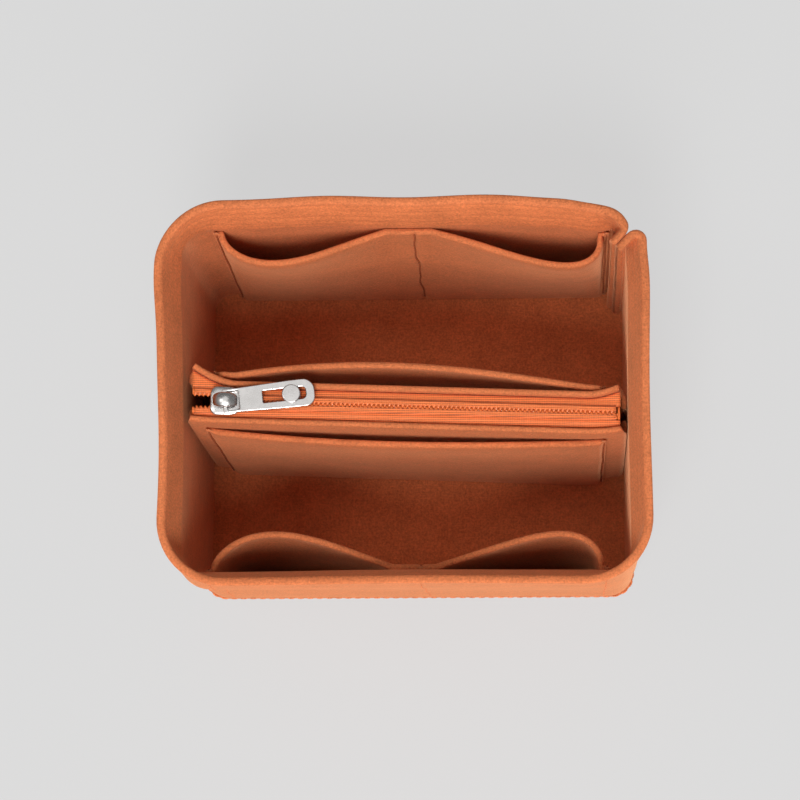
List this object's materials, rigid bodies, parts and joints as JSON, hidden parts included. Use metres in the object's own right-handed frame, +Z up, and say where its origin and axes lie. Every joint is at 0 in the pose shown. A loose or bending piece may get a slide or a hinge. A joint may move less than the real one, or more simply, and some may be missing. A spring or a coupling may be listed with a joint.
{
  "type": "purse organizer insert",
  "caption": "Open felt box insert for a handbag with a flared rim, wall pockets at back and front, and a zipped pouch with slip pockets across its middle.",
  "frame": {"origin": "centre of the underside of the base, on the surface that it stands on", "axes": "+X to the right along the length and along the zip, +Y to the back, +Z up out of the mouth"},
  "size_m": [0.167, 0.132, 0.12],
  "materials": {
    "felt": "matte wool felt",
    "thread": "matte sewing thread",
    "tape": "woven zip tape",
    "coil": "satin nylon coil",
    "metal": "polished nickel plate"
  },
  "bodies": {
    "organizer": {"outer_wall": "felt", "base_panel": "felt", "back_pocket": "felt", "front_pocket": "felt", "pouch_back_panel": "felt", "pouch_front_panel": "felt", "pouch_back_pocket": "felt", "pouch_front_pocket": "felt", "base_seam_thread": "thread", "back_pocket_left_thread": "thread", "back_pocket_left_under_thread": "thread", "front_pocket_left_thread": "thread", "front_pocket_left_under_thread": "thread", "back_pocket_centre_thread": "thread", "back_pocket_centre_under_thread": "thread", "front_pocket_centre_thread": "thread", "front_pocket_centre_under_thread": "thread", "back_pocket_right_thread": "thread", "back_pocket_right_under_thread": "thread", "front_pocket_right_thread": "thread", "front_pocket_right_under_thread": "thread", "pouch_back_pocket_left_thread": "thread", "pouch_back_pocket_left_under_thread": "thread", "pouch_back_left_end_thread": "thread", "pouch_back_left_end_under_thread": "thread", "pouch_back_pocket_right_thread": "thread", "pouch_back_pocket_right_under_thread": "thread", "pouch_back_right_end_thread": "thread", "pouch_back_right_end_under_thread": "thread", "pouch_front_pocket_left_thread": "thread", "pouch_front_pocket_left_under_thread": "thread", "pouch_front_left_end_thread": "thread", "pouch_front_left_end_under_thread": "thread", "pouch_front_pocket_right_thread": "thread", "pouch_front_pocket_right_under_thread": "thread", "pouch_front_right_end_thread": "thread", "pouch_front_right_end_under_thread": "thread", "corner_seam_thread": "thread", "zip_back_seam_thread": "thread", "zip_front_seam_thread": "thread", "zip_tack_back": "thread", "zip_tack_front": "thread", "zip_tack_end": "thread", "zip_tape_back": "tape", "zip_tape_front": "tape", "zip_coil_back": "coil", "zip_coil_front": "coil"},
    "slider": {"slider_body": "metal", "slider_bridge": "metal"},
    "pull": {"pull_tab": "metal"},
    "button": {"pull_button": "metal"}
  },
  "joints": [
    {"name": "zip_slide", "type": "slide", "parent": "organizer", "child": "slider", "axis": [0.9993, -0.0384, 0], "range_m": [-0.0046, 0.105], "deforming": ["zip_coil_back", "zip_coil_front"]},
    {"name": "pull_flip", "type": "hinge", "parent": "slider", "child": "pull", "pos_m": [-0.06066, -0.00207, 0.11075], "axis": [0.1063, -0.9943, 0], "range_deg": [0, 140]},
    {"name": "button_slide", "type": "slide", "parent": "pull", "child": "button", "axis": [0.9943, 0.1063, 0], "range_m": [-0.0076, 0.0029]}
  ]
}
